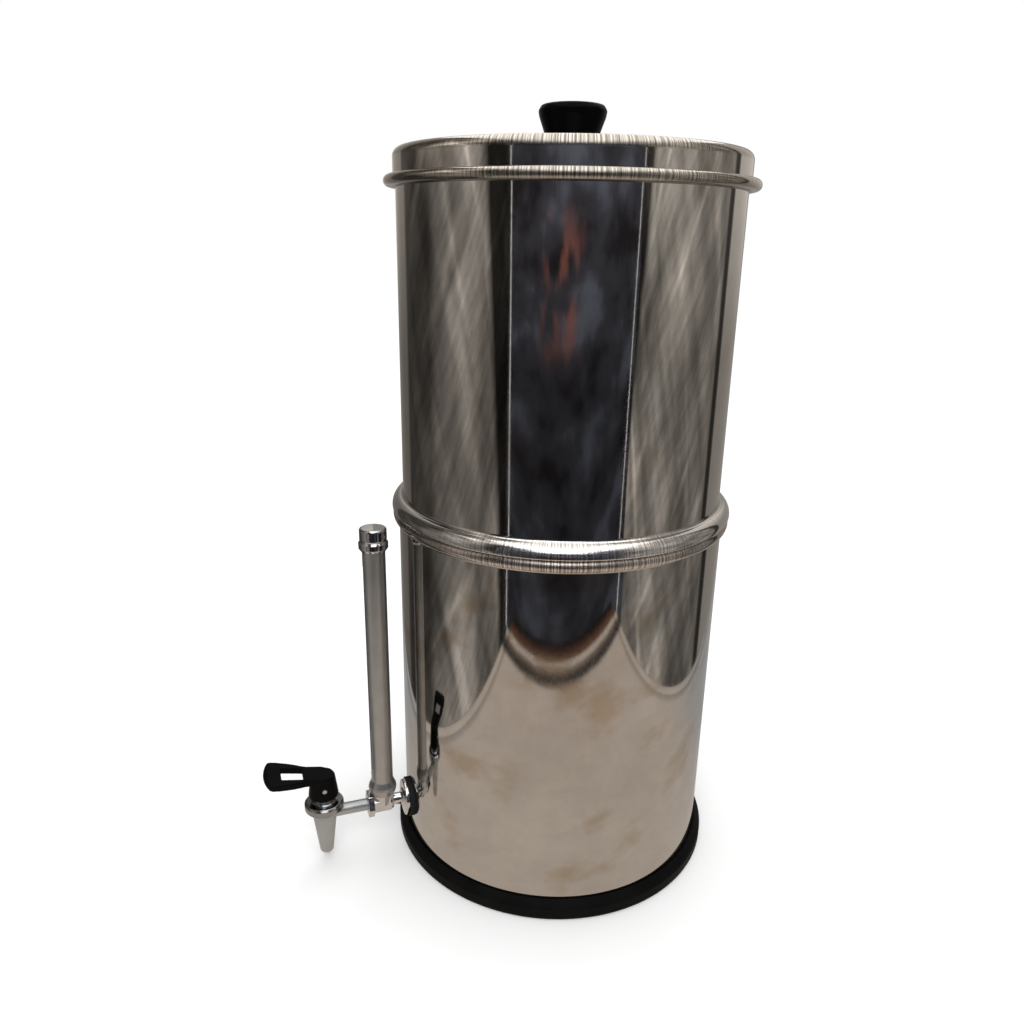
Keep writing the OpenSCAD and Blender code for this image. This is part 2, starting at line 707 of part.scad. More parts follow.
// The lever's outline from above, with its tip at +X
module lever_plan() {
    tip_x = lever_reach - 3.8;
    bow_r = (pow(lever_half_w, 2) + pow(3.8, 2)) / (2 * 3.8);
    bow_a = asin(lever_half_w / bow_r);
    edge = [[-hub_top_r, 0], [-hub_top_r * 0.7, hub_top_r * 0.72], [0, hub_top_r],
        [9.5, waist_half_w], [12.5, waist_half_w * 1.08], [15.5, (waist_half_w + lever_half_w) / 2 - 0.9],
        [20, (waist_half_w + lever_half_w) / 2 + 0.6], [25, lever_half_w - 1.1],
        [30, lever_half_w - 0.1], [tip_x - 1.5, lever_half_w]];
    bow = arc([lever_reach - bow_r, 0], bow_r, bow_a * 0.94, -bow_a * 0.94, 12);
    polygon(concat(edge, bow, [for (i = [len(edge) - 1:-1:1]) [edge[i][0], -edge[i][1]]]));
}

// The lever's outline from the side, with its tip at +X and its pin at the origin
module lever_side() {
    rise = tan(lever_rise);
    mid = lever_mid_z - pin_z;
    tip_mid = mid + (lever_reach - 4) * rise;
    polygon([
        [-2 * hub_r, mid - 2 * hub_r * rise + lever_t / 2], [lever_reach - 3, tip_mid + lever_tip_t / 2],
        [lever_reach - 1, tip_mid + lever_tip_t / 2 - 0.5], [lever_reach + 1, tip_mid],
        [lever_reach - 1, tip_mid - lever_tip_t / 2 + 0.5], [lever_reach - 3, tip_mid - lever_tip_t / 2],
        [hub_r - 1, mid + hub_r * rise - lever_t / 2], [-2 * hub_r, mid - hub_r * rise - lever_t / 2]]);
}

// Clearance in the hub for the stem, as the lever tips
module hub_cavity() {
    front = tan(30) * (pin_z - hub_z) + valve_stem_r / cos(30) + 0.4;
    top = norm([valve_stem_r, valve_stem_top - pin_z]) + 0.3;
    polygon([[-valve_stem_r - 1, cam_z - pin_z - eps], [front + 0.2, cam_z - pin_z - eps],
        [front, hub_z - pin_z], [valve_stem_r + 1.9, 0], [valve_stem_r + 1.9, top],
        [-valve_stem_r - 1.9, top], [-valve_stem_r - 1.9, 0], [-valve_stem_r - 1, -3]]);
}

// Places a side outline in the lever's own plane, w wide
module across(w) {
    translate([w / 2, 0, 0]) rotate([90, 0, -90]) linear_extrude(w) children();
}

module lever_handle() {
    hub_h = lever_mid_z - hub_z + 1;
    color(black) on_spout(pin_z) difference() {
        union() {
            translate([0, 0, hub_z - pin_z]) cylinder(r1 = hub_r, r2 = hub_top_r, h = hub_h, $fn = fine);
            translate([0, 0, cam_z - pin_z]) cylinder(r = cam_r, h = hub_z - cam_z + eps, $fn = fine);
            intersection() {
                across(3 * lever_half_w) lever_side();
                rotate([0, 0, -90]) translate([0, 0, -2 * pin_h]) linear_extrude(6 * pin_h) lever_plan();
            }
        }
        across(hub_cavity_w) hub_cavity();
        translate([-slot_w / 2, -slot_from - slot_l, 0]) cube([slot_w, slot_l, 4 * pin_h]);
        rotate([0, 90, 0]) cylinder(r = pin_r + run_gap, h = 4 * hub_r, center = true, $fn = fine);
    }
}

// ---------------------------------------------------------------- assembly

base_ring();
lower_chamber();
upper_chamber();
lid();
lid_knob();
knob_screw();
knob_washer();
filter_elements();
filter_bases();
filter_washers();
filter_wing_nuts();
blanking_plugs();
plug_nuts();
gauge_tee();
outer_washer();
inner_washer();
shank_nut();
gauge_guard();
gauge_glass();
gauge_cap();
gauge_lower_seal();
gauge_upper_seal();
jam_nut();
faucet_body();
bonnet();
faucet_stem();
seat_cup();
stem_spring();
handle_pin();
lever_handle();
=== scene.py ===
"""Dressed model of the gravity water filter, with its stage, lights and camera.

The part's sizes and profiles are in millimetres. The stage, lights, camera and finishes are in metres,
apart from the wave heights of a finish, which are in millimetres.
"""

import math

import bmesh
import bpy
from mathutils import Matrix, Quaternion, Vector


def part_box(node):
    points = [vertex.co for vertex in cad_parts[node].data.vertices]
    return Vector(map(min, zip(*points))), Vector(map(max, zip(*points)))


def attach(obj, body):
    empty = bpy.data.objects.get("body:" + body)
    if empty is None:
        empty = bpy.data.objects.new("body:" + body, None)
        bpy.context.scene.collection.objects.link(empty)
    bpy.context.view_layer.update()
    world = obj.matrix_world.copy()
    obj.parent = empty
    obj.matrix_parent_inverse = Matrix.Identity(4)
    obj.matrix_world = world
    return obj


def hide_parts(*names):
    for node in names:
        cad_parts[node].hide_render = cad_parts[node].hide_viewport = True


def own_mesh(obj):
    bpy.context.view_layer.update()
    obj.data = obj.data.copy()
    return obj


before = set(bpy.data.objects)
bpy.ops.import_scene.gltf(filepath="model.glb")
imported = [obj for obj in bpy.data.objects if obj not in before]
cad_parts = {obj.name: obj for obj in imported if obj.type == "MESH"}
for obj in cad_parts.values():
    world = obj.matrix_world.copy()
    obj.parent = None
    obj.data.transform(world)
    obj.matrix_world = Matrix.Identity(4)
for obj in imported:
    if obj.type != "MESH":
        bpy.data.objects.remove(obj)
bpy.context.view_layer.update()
scene = bpy.context.scene
MM = 0.001

# ------------------------------------------------------------------ sizes, as in the part's source

lower_r = 107.0
upper_r = 104.3
base_r = 112.5
base_h = 12.8
sheet_t = 0.8
lower_floor_z = 3.0
lower_rim_z = 245.5
rim_bead_r = 3.9
floor_bend_r = 5.0

upper_floor_z = 225.0
shoulder_z = 245.7
shoulder_r = 111.4
shoulder_h = 8.5
upper_rim_z = 460.5
curl_r = 1.5

lid_r = 105.7
lid_bend_r = 5.0
lid_bend_z = 457.64
lid_top_z = 462.64
lid_h = 20.5
lid_curl_r = 2.4

knob_h = 26.0

tap_z = 34.9
gauge_y = 126.5
spout_y = 167.0
tee_out = 133.5
neck_z = 43.5
gauge_cap_z = 224.5
guard_top_z = 229.0
shank_in, shank_r = 89.2, 7.9
washer_out, flange_out, flange_r = 109.4, 112.4, 12.5
tee_in, bar_r, water_r = 119.5, 4.1, 2.6
bar_length, jam_nut_h = 22.6, 4
nipple_r, nipple_h = 7.6, 7.0
glass_bore_r = 5.66
bonnet_low_z, bonnet_top_z = 39.5, 48.5

sheet_turns, ring_turns, fitting_turns, bore_turns = 384, 256, 96, 64

# ------------------------------------------------------------------ profiles


def arc(cx, cz, radius, start, end, steps=12, squash=1.0):
    """Points of an arc about (cx, cz), from start to end degrees; squash scales its height."""
    turns = [math.radians(start + (end - start) * i / steps) for i in range(steps + 1)]
    return [(cx + radius * math.cos(a), cz + radius * squash * math.sin(a)) for a in turns]


def rounded(corners, closed=False, steps=6):
    """Polyline through (r, z) or (r, z, fillet) corners, with each fillet turned as an arc."""
    line = []
    count = len(corners)
    for i, corner in enumerate(corners):
        here = Vector(corner[:2])
        fillet = corner[2] if len(corner) > 2 else 0
        inner = closed or 0 < i < count - 1
        if not fillet or not inner:
            line.append(tuple(here))
            continue
        before = Vector(corners[i - 1][:2]) - here
        after = Vector(corners[(i + 1) % count][:2]) - here
        half = before.angle(after) / 2
        reach = min(fillet / math.tan(half), 0.48 * before.length, 0.48 * after.length)
        start, end = here + before.normalized() * reach, here + after.normalized() * reach
        for k in range(steps + 1):
            t = k / steps
            line.append(tuple((1 - t) ** 2 * start + 2 * t * (1 - t) * here + t * t * end))
    return line


def sheet(line, t):
    """Closed outline of sheet metal t thick, on the left of a line."""
    points = [Vector(p) for p in line]
    last = len(points) - 1
    inner = []
    for i, p in enumerate(points):
        a = points[max(i, 1)] - points[max(i - 1, 0)]
        b = points[min(i + 1, last)] - points[min(i, last - 1)]
        na, nb = Vector((-a.y, a.x)).normalized(), Vector((-b.y, b.x)).normalized()
        m = (na + nb).normalized()
        inner.append(tuple(p + m * t / m.dot(na)))
    return list(line) + inner[::-1]


def supported(line, closed, inset=0.25):
    """The same line with points close to the ends of each long run, so that its shading stays true."""
    out = []
    count = len(line)
    for i, start in enumerate(line):
        out.append(start)
        if i == count - 1 and not closed:
            break
        a, b = Vector(start), Vector(line[(i + 1) % count])
        run = (b - a).length
        if run > 6 * inset:
            out += [tuple(a.lerp(b, inset / run)), tuple(a.lerp(b, 1 - inset / run))]
    return out


# ------------------------------------------------------------------ meshes


def turn(bm, line, turns, place=Matrix.Identity(4)):
    """Adds to bm the solid that a line of (radius, height) points in mm makes when turned about Z."""
    closed = line[0][0] > 1e-6
    line = supported(line, closed)
    rings = []
    for r, z in line:
        count = turns if r > 1e-6 else 1
        angles = [2 * math.pi * i / turns for i in range(count)]
        points = [place @ Vector((r * math.cos(a), r * math.sin(a), z)) for a in angles]
        rings.append([bm.verts.new(p * MM) for p in points])
    for low, high in zip(rings, rings[1:] + (rings[:1] if closed else [])):
        for i in range(turns):
            j = (i + 1) % turns
            corners = [low[i % len(low)], low[j % len(low)], high[j % len(high)], high[i % len(high)]]
            corners = list(dict.fromkeys(corners))  # an end on the axis has one corner less
            if len(corners) > 2:
                bm.faces.new(corners)


def bridge(bm, rings):
    """Adds to bm the solid that runs through rings of as many corners each, closed at both ends."""
    count = len(rings[0])
    for one, two in zip(rings, rings[1:]):
        for i in range(count):
            j = (i + 1) % count
            bm.faces.new([one[i], one[j], two[j], two[i]])
    bm.faces.new(rings[0][::-1])
    bm.faces.new(rings[-1])


def prism(bm, outline, low, high, place, bevel):
    """Adds to bm a prism in mm along the Z of its placing, with bevelled edges."""
    before = set(bm.faces)
    bridge(bm, [[bm.verts.new(place @ Vector((x, y, z)) * MM) for x, y in outline] for z in (low, high)])
    edges = list(dict.fromkeys(e for f in bm.faces if f not in before for e in f.edges))
    bmesh.ops.bevel(bm, geom=edges, offset=bevel * MM, segments=3, profile=0.6, affect="EDGES")


def piece_from(bm, name, sharp=38):
    """Object from bm, smooth except at edges sharper than that angle."""
    bmesh.ops.recalc_face_normals(bm, faces=bm.faces)
    mesh = bpy.data.meshes.new(name)
    bm.to_mesh(mesh)
    bm.free()
    mesh.polygons.foreach_set("use_smooth", [True] * len(mesh.polygons))
    mesh.set_sharp_from_angle(angle=math.radians(sharp))
    obj = bpy.data.objects.new(name, mesh)
    scene.collection.objects.link(obj)
    return obj


def dress(obj, body, nodes, material):
    """Puts a piece on its body, in place of its CAD nodes, with its finish."""
    obj.data.materials.clear()
    obj.data.materials.append(material)
    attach(obj, body)
    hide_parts(*nodes)
    return obj


def turned(name, line, body, nodes, material, turns, place=Matrix.Identity(4)):
    """A turned piece, dressed."""
    bm = bmesh.new()
    turn(bm, line, turns, place)
    dress(piece_from(bm, name), body, nodes, material)


def keep_modified(obj):
    """Makes the modified mesh the object's own."""
    graph = bpy.context.evaluated_depsgraph_get()
    mesh = bpy.data.meshes.new_from_object(obj.evaluated_get(graph))
    obj.modifiers.clear()
    obj.data = mesh


def cut(obj, cutter):
    """Takes the cutter's shape out of obj's mesh, and removes the cutter."""
    mod = obj.modifiers.new("cut", "BOOLEAN")
    mod.object, mod.operation, mod.solver = cutter, "DIFFERENCE", "EXACT"
    keep_modified(obj)
    bpy.data.objects.remove(cutter)
    obj.data.set_sharp_from_angle(angle=math.radians(30))


def along_shank(out):
    """Placing of a piece whose Z points outward on the tap's shank, out mm from the chamber's axis."""
    return Matrix.Translation((0, -out, tap_z)) @ Matrix.Rotation(math.radians(90), 4, "X")


def above(rho, z=0.0):
    """Placing of an upright piece rho mm out from the chamber's axis, on the tap's side."""
    return Matrix.Translation((0, -rho, z))


def hexagon(across, turned_by=0.0):
    """Corners of a hexagon, across mm over its flats, first corner at that angle."""
    r = across / math.sqrt(3)
    angles = [math.radians(turned_by + 60 * i) for i in range(6)]
    return [(r * math.cos(a), r * math.sin(a)) for a in angles]


# ------------------------------------------------------------------ node helpers


def put(tree, kind, inputs=(), **settings):
    """Adds a node. inputs maps socket names or numbers to values or to other nodes' sockets."""
    node = tree.nodes.new("ShaderNode" + kind)
    for name, value in settings.items():
        setattr(node, name, value)
    for key, value in dict(inputs).items():
        if isinstance(value, bpy.types.NodeSocket):
            tree.links.new(value, node.inputs[key])
        else:
            node.inputs[key].default_value = value
    return node


def math_node(tree, operation, a, b=0.0, c=0.0):
    return put(tree, "Math", {0: a, 1: b, 2: c}, operation=operation).outputs[0]


def place_coords(tree, scale=(1, 1, 1), rotation=(0, 0, 0)):
    """Object coordinates, turned and then stretched, so that a stretched noise keeps its slant."""
    coords = put(tree, "TexCoord").outputs["Object"]
    size = tuple(1 / s for s in scale)
    return put(tree, "Mapping", {"Vector": coords, "Scale": size, "Rotation": rotation},
               vector_type="TEXTURE").outputs[0]


def noise(tree, scale=(1, 1, 1), rotation=(0, 0, 0), detail=2.0, roughness=0.5):
    """Noise in 0..1 whose features repeat about scale times a metre along each axis."""
    vector = place_coords(tree, scale, rotation)
    return put(tree, "TexNoise", {
        "Vector": vector, "Scale": 1.0, "Detail": detail, "Roughness": roughness}).outputs["Fac"]


def object_axes(tree):
    """The X, Y and Z sockets of the object coordinates."""
    return put(tree, "SeparateXYZ", {0: put(tree, "TexCoord").outputs["Object"]}).outputs


def angle_around(tree):
    """Angle about the Z axis, in radians."""
    axes = object_axes(tree)
    return math_node(tree, "ARCTAN2", axes["Y"], axes["X"])


def noise_around(tree, per_radian):
    """Noise in 0..1 that changes only around the Z axis: upright lines on any turned form."""
    along = math_node(tree, "MULTIPLY", angle_around(tree), per_radian)
    return put(tree, "TexNoise", {"W": along, "Scale": 1.0, "Detail": 2.0, "Roughness": 0.7},
               noise_dimensions="1D").outputs["Fac"]


def ramp(tree, fac, stops):
    """Smooth colour ramp over (position, colour or grey) stops."""
    node = put(tree, "ValToRGB", {"Fac": fac})
    node.color_ramp.interpolation = "EASE"
    elements = node.color_ramp.elements
    while len(elements) < len(stops):
        elements.new(0.5)
    for element, (position, colour) in zip(elements, stops):
        element.position = position
        rgb = colour if isinstance(colour, tuple) else (colour,) * 3
        element.color = (*rgb, 1)
    return node.outputs["Color"]


def mapped(tree, value, low, high, to_low=0.0, to_high=1.0):
    """value, mapped from low..high to to_low..to_high and held there beyond its ends."""
    return put(tree, "MapRange", {
        "Value": value, "From Min": low, "From Max": high, "To Min": to_low, "To Max": to_high}).outputs[0]


def heights(tree, *waves):
    """Bump normal from (noise in 0..1, height in mm) pairs, in real heights."""
    total = None
    for wave, height in waves:
        part = math_node(tree, "MULTIPLY", wave, height * MM)
        total = part if total is None else math_node(tree, "ADD", total, part)
    return put(tree, "Bump", {"Height": total, "Strength": 1.0, "Distance": 1.0}).outputs["Normal"]


def new_material(name):
    material = bpy.data.materials.new(name)
    material.use_nodes = True
    tree = material.node_tree
    return material, tree, tree.nodes["Principled BSDF"]


# ------------------------------------------------------------------ finishes


steel_colour = (0.585, 0.565, 0.54)
smudge_colour = (0.46, 0.385, 0.30, 1)
comb_per_radian = 85
# The bands' painted striped reflections, deep lines and roughness are strongest at this angle about the axis
# and opposite it.
bands_strongest_at = math.radians(-15)
combed_from_r, band_edge = 0.1, 0.0008


def height_bands(tree, bands):
    """1 within any of the (low, high) bands of height and beyond combed_from_r, and 0 elsewhere."""
    coords = put(tree, "TexCoord").outputs["Object"]
    height = put(tree, "SeparateXYZ", {0: coords}).outputs["Z"]
    level = put(tree, "VectorMath", {0: coords, 1: (1, 1, 0)}, operation="MULTIPLY").outputs[0]
    radius = put(tree, "VectorMath", {0: level}, operation="LENGTH").outputs["Value"]
    total = None
    for low, high in bands:
        middle, half = (low + high) / 2, (high - low) / 2
        off = math_node(tree, "ABSOLUTE", math_node(tree, "SUBTRACT", height, middle))
        band = mapped(tree, off, half - band_edge, half + band_edge, 1.0, 0.0)
        total = band if total is None else math_node(tree, "MAXIMUM", total, band)
    outside = mapped(tree, radius, combed_from_r, combed_from_r + 2 * band_edge)
    return math_node(tree, "MULTIPLY", total, outside)


def polished_steel(name, combed, tones, bend_rough, stain):
    """Mirror-polished sheet: fine upright draw lines, broad waves, hair scratches and faint brown smudges.

    Within the combed bands of height, where the sheet was bent, the draw lines are deep and rougher,
    and the colour swings between the two tones: painted striped reflections, dark and light. They are
    strongest on two opposite sides of the axis.
    """
    material, tree, bsdf = new_material(name)
    draw_lines = noise(tree, (620, 620, 3), detail=3, roughness=0.6)
    comb = noise_around(tree, comb_per_radian)
    band = height_bands(tree, combed)
    broad = noise(tree, (9, 9, 4), detail=1)
    ripple = noise(tree, (34, 34, 7), detail=1)
    hairs = noise(tree, (1500, 1500, 70), (0.35, 0.2, 0), detail=2, roughness=0.7)
    smudge = noise(tree, (24, 24, 40), (0.5, 0.3, 0), detail=3, roughness=0.55)
    smudged = mapped(tree, smudge, 0.54, 0.70, 0.0, stain)
    cloudy = noise(tree, (70, 70, 90), detail=3, roughness=0.6)
    bsdf.inputs["Metallic"].default_value = 1.0
    clean = ramp(tree, cloudy, [(0.3, tuple(c * 0.93 for c in steel_colour)), (0.7, steel_colour)])
    plain = put(tree, "Mix", {"Factor": smudged, "A": clean, "B": smudge_colour}, data_type="RGBA")
    twice = math_node(tree, "MULTIPLY_ADD", angle_around(tree), 2.0, -2 * bands_strongest_at)
    strong = mapped(tree, math_node(tree, "COSINE", twice), 0.3, 0.8, 0.2, 1.0)
    swing = math_node(tree, "MULTIPLY_ADD", math_node(tree, "SUBTRACT", comb, 0.5), strong, 0.5)
    # Painted striped reflections: the colour swings between the dark and the light tone.
    painted_stripe_colour = ramp(tree, swing, [(0.40, tones[0]), (0.60, tones[1])])
    colour_with_painted_stripes = put(tree, "Mix", {"Factor": band, "A": plain.outputs["Result"], "B": painted_stripe_colour}, data_type="RGBA")
    tree.links.new(colour_with_painted_stripes.outputs["Result"], bsdf.inputs["Base Color"])
    rough = math_node(tree, "ADD", mapped(tree, hairs, 0.45, 0.8, 0.04, 0.10),
                      math_node(tree, "MULTIPLY", smudged, 0.05))
    rough = math_node(tree, "MULTIPLY_ADD", math_node(tree, "MULTIPLY", band, strong), bend_rough, rough)
    tree.links.new(rough, bsdf.inputs["Roughness"])
    deep = math_node(tree, "MULTIPLY", swing, band)
    normal = heights(
        tree, (draw_lines, 0.0011), (hairs, 0.0004), (deep, 0.05), (ripple, 0.010), (broad, 0.16))
    tree.links.new(normal, bsdf.inputs["Normal"])
    return material


def metal(name, colour, rough, grain=(300, 300, 300), grain_mm=0.002, spread=0.06, metallic=1.0):
    """Metal whose roughness and colour vary with a fine grain."""
    material, tree, bsdf = new_material(name)
    fine = noise(tree, grain, detail=3, roughness=0.6)
    cloud = noise(tree, (60, 60, 60), detail=3)
    bsdf.inputs["Metallic"].default_value = metallic
    shade = ramp(tree, cloud, [(0.3, tuple(c * 0.9 for c in colour)), (0.7, colour)])
    tree.links.new(shade, bsdf.inputs["Base Color"])
    tree.links.new(mapped(tree, fine, 0.3, 0.75, rough, rough + spread), bsdf.inputs["Roughness"])
    tree.links.new(heights(tree, (fine, grain_mm), (cloud, grain_mm * 3)), bsdf.inputs["Normal"])
    return material


def dull(name, colour, rough, grain=900, grain_mm=0.01, spread=0.12, specular=0.5, worn=1.6):
    """Plastic or rubber with a fine moulded grain and a little paler wear."""
    material, tree, bsdf = new_material(name)
    fine = noise(tree, (grain,) * 3, detail=3, roughness=0.65)
    cloud = noise(tree, (45, 45, 45), detail=4, roughness=0.6)
    shade = ramp(tree, cloud, [(0.3, colour), (0.75, tuple(min(1, c * worn) for c in colour))])
    tree.links.new(shade, bsdf.inputs["Base Color"])
    bsdf.inputs["Specular IOR Level"].default_value = specular
    tree.links.new(mapped(tree, cloud, 0.3, 0.75, rough, rough + spread), bsdf.inputs["Roughness"])
    tree.links.new(heights(tree, (fine, grain_mm)), bsdf.inputs["Normal"])
    return material


def clear_glass(name):
    material, tree, bsdf = new_material(name)
    draw = noise(tree, (400, 400, 8), detail=1)
    bsdf.inputs["Transmission Weight"].default_value = 1.0
    bsdf.inputs["IOR"].default_value = 1.47
    tree.links.new(ramp(tree, draw, [(0.3, (0.90, 0.95, 0.95)), (0.7, (0.96, 0.98, 0.98))]),
                   bsdf.inputs["Base Color"])
    tree.links.new(mapped(tree, draw, 0.3, 0.7, 0.01, 0.04), bsdf.inputs["Roughness"])
    return material


# The tones of each steel are the dark and light of its painted striped reflections: pale painted highlights
# on the shoulder, dark painted shade on the lid's bends.
lower_steel = polished_steel(
    "lower_steel", [(0.2375, 0.2460)], ((0.30, 0.26, 0.235), (0.88, 0.82, 0.77)), bend_rough=0.32, stain=0.8)
upper_steel = polished_steel(
    "upper_steel", [(0.2455, 0.2550)], ((0.56, 0.55, 0.54), (0.97, 0.96, 0.95)), bend_rough=0.15, stain=0.35)
lid_steel = polished_steel(
    "lid_steel", [(0.4420, 0.4475), (0.4575, 0.4628)], ((0.20, 0.18, 0.155), (0.62, 0.58, 0.52)),
    bend_rough=0.34, stain=0.3)
satin_steel = metal("satin_steel", (0.50, 0.50, 0.49), 0.30, (500, 500, 60), 0.002, 0.10, metallic=0.92)
cast_steel = metal("cast_steel", (0.46, 0.48, 0.48), 0.32, (260, 260, 260), 0.003, 0.10, metallic=0.8)
chrome = metal("chrome", (0.74, 0.745, 0.76), 0.05, (220, 220, 220), 0.0012, 0.05)
dark_chrome = metal("dark_chrome", (0.42, 0.43, 0.44), 0.16, (220, 220, 220), 0.0015, 0.08)
spring_wire = metal("spring_wire", (0.56, 0.56, 0.56), 0.22, (900, 900, 900), 0.001)
knob_black = dull("knob_black", (0.0012, 0.0012, 0.0013), 0.22, grain_mm=0.004, specular=0.025)
lever_black = dull("lever_black", (0.002, 0.002, 0.0021), 0.34, grain_mm=0.006, spread=0.14, specular=0.06)
fitting_black = dull("fitting_black", (0.02, 0.02, 0.021), 0.38, grain_mm=0.008)
ring_rubber = dull("ring_rubber", (0.003, 0.003, 0.003), 0.5, grain=1400, grain_mm=0.010, specular=0.06)
seal_rubber = dull("seal_rubber", (0.010, 0.010, 0.0105), 0.6, grain=1200, grain_mm=0.012, specular=0.12)
milky_silicone = dull("milky_silicone", (0.72, 0.72, 0.70), 0.42, grain_mm=0.004, worn=1.1)
carbon_block = dull("carbon_block", (0.045, 0.045, 0.048), 0.8, grain=1600, grain_mm=0.09, specular=0.2)
gauge_glass = clear_glass("gauge_glass")

# ------------------------------------------------------------------ chambers


def base_ring_line():
    inner, wall = 92.0, lower_r + 0.05
    return rounded([
        (inner, 0, 0.6), (base_r - 0.6, 0, 0.9), (base_r, 1.4, 1), (base_r, 7.6, 1.2),
        (base_r - 1.2, 9.2, 1.4), (wall + 1.2, base_h - 0.2, 0.9), (wall, base_h - 0.4, 0.3),
        (wall, lower_floor_z, 0.4), (inner, lower_floor_z, 0.6)], closed=True)


def lower_chamber_line():
    bead_z = lower_rim_z - rim_bead_r
    outer = [(0, lower_floor_z)]
    outer += arc(lower_r - floor_bend_r, lower_floor_z + floor_bend_r, floor_bend_r, -90, 0, 12)
    outer += [(lower_r, bead_z - rim_bead_r - 0.9), (lower_r + 0.25, bead_z - rim_bead_r - 0.25)]
    outer += arc(lower_r, bead_z, rim_bead_r, -72, 90, 26)
    outer += [(lower_r - 1.2, lower_rim_z)]
    return sheet(outer, sheet_t)


def upper_chamber_line():
    nose = 1.0
    outer = [(0, upper_floor_z)]
    outer += arc(upper_r - floor_bend_r, upper_floor_z + floor_bend_r, floor_bend_r, -90, 0, 12)
    outer += [(upper_r, shoulder_z), (shoulder_r - nose, shoulder_z)]
    outer += arc(shoulder_r - nose, shoulder_z + nose, nose, -60, 0, 4)
    reach, rise = shoulder_r - upper_r, shoulder_h - nose - 0.4
    outer += arc(upper_r, shoulder_z + nose + 0.4, reach, 0, 80, 22, rise / reach)
    outer += [(upper_r + 0.3, shoulder_z + shoulder_h + 0.5), (upper_r, shoulder_z + shoulder_h + 1.3)]
    outer += arc(upper_r - curl_r, upper_rim_z - curl_r, curl_r, 0, 200, 20)
    return sheet(outer, sheet_t)


def lid_line():
    outer = [(0, lid_top_z)]
    outer += arc(lid_r - lid_bend_r, lid_bend_z, lid_bend_r, 90, 0, 14)
    outer += arc(lid_r + lid_curl_r, lid_top_z - lid_h + lid_curl_r, lid_curl_r, 180, 430, 34)
    return sheet(outer, -sheet_t)


def knob_line():
    """The knob's outline above the lid: a narrow foot that flares to a rounded, nearly flat top."""
    flare = rounded([
        (0, 0), (13.9, 0, 0.4), (14.5, 0.9, 0.8), (14.6, 4.6, 3), (17.2, 12.4, 8), (19.6, 19.0, 5),
        (20.2, 22.2, 2.6), (18.4, 25.35, 2.6), (9.5, 25.9, 6), (0, knob_h)], steps=9)
    return [(r, z + lid_top_z) for r, z in flare]


turned("base_ring_moulding", base_ring_line(), "root", ["base_ring"], ring_rubber, ring_turns)
turned("lower_chamber_shell", lower_chamber_line(), "root", ["lower_chamber"],
       lower_steel, sheet_turns)
turned("upper_chamber_shell", upper_chamber_line(), "upper", ["upper_chamber"],
       upper_steel, sheet_turns)
turned("lid_shell", lid_line(), "lid", ["lid"], lid_steel, sheet_turns)
turned("lid_knob_turned", knob_line(), "lid", ["lid_knob"], knob_black, ring_turns // 2)

# ------------------------------------------------------------------ tap and gauge


def guard_line():
    """The guard tube's outline above the neck: a collar over the nipple, and the tube."""
    tube_r, bore, collar_bore, collar_floor, top = 7.4, 6.2, 7.65, 7.2, guard_top_z - neck_z
    return rounded([
        (collar_bore, 0), (8.5, 0, 0.5), (9.3, 2.4, 2), (9.7, 4.4, 2), (9.2, 6.6, 2.5), (7.5, 10.3, 1.6),
        (tube_r, 12.5, 1), (tube_r, top), (bore, top), (bore, collar_floor), (collar_bore, collar_floor)],
        closed=True)


def make_guard():
    """Guard tube with the long slot in its outward side."""
    bm = bmesh.new()
    turn(bm, guard_line(), fitting_turns, above(gauge_y, neck_z))
    guard = piece_from(bm, "gauge_guard_tube")
    half, low, high = 2.75, neck_z + 19, gauge_cap_z - 13
    outline = arc(0, low, half, 180, 360, 16) + arc(0, high, half, 0, 180, 16)
    bm = bmesh.new()
    bridge(bm, [[bm.verts.new(Vector((x, -y, z)) * MM) for x, z in outline]
                for y in (gauge_y + 2, gauge_y + 12)])
    cut(guard, piece_from(bm, "slot_cutter"))
    dress(guard, "root", ["gauge_guard"], satin_steel)


def cap_line():
    """The cap's outline above its lower edge, with the tube's socket and the glass's bore in it."""
    socket_r, socket_top, bore_top = 7.45, 4.5, 8.3
    outer = [
        (socket_r, 0), (8.3, 0, 0.5), (9.45, 1.8, 0.8), (9.45, 5.2, 0.8), (8.8, 6.2, 0.5), (8.45, 6.7, 0.5),
        (8.7, 7.6, 0.6), (8.7, 14.9, 1.7), (0, 15)]
    return rounded(outer) + [
        (0, bore_top), (glass_bore_r, bore_top), (glass_bore_r, socket_top), (socket_r, socket_top)]


def body_line():
    """The tap body's outline: tapered spout, cone, and the spigot that the bonnet screws on."""
    outlet_r, outlet_z, spigot_r, spigot_top = 3.3, 4.5, 10.4, 43.5
    seat_r, seat_z, chamber_r, chamber_z = 3.8, 24.0, 6.2, 27.0
    return rounded([
        (outlet_r, outlet_z, 0.3), (4.0, outlet_z, 0.4), (4.6, 5.6, 1.0), (8.0, 33.6, 5), (8.2, 36.4, 3),
        (12.2, 39.2, 0.8), (12.2, bonnet_low_z, 0.1), (spigot_r, bonnet_low_z), (spigot_r, spigot_top, 0.2),
        (chamber_r, spigot_top), (chamber_r, chamber_z), (seat_r, chamber_z), (seat_r, seat_z),
        (outlet_r, seat_z)], closed=True)


def make_tap_body():
    """Barrel with its tapered spout, and the bar that screws into the tee."""
    bm = bmesh.new()
    turn(bm, body_line(), fitting_turns, above(spout_y))
    bar = rounded([(water_r, 0), (bar_r, 0, 0.3), (bar_r, bar_length), (water_r, bar_length)], closed=True)
    turn(bm, bar, bore_turns, along_shank(tee_out + jam_nut_h))
    dress(piece_from(bm, "tap_body"), "root", ["faucet_body"], cast_steel)


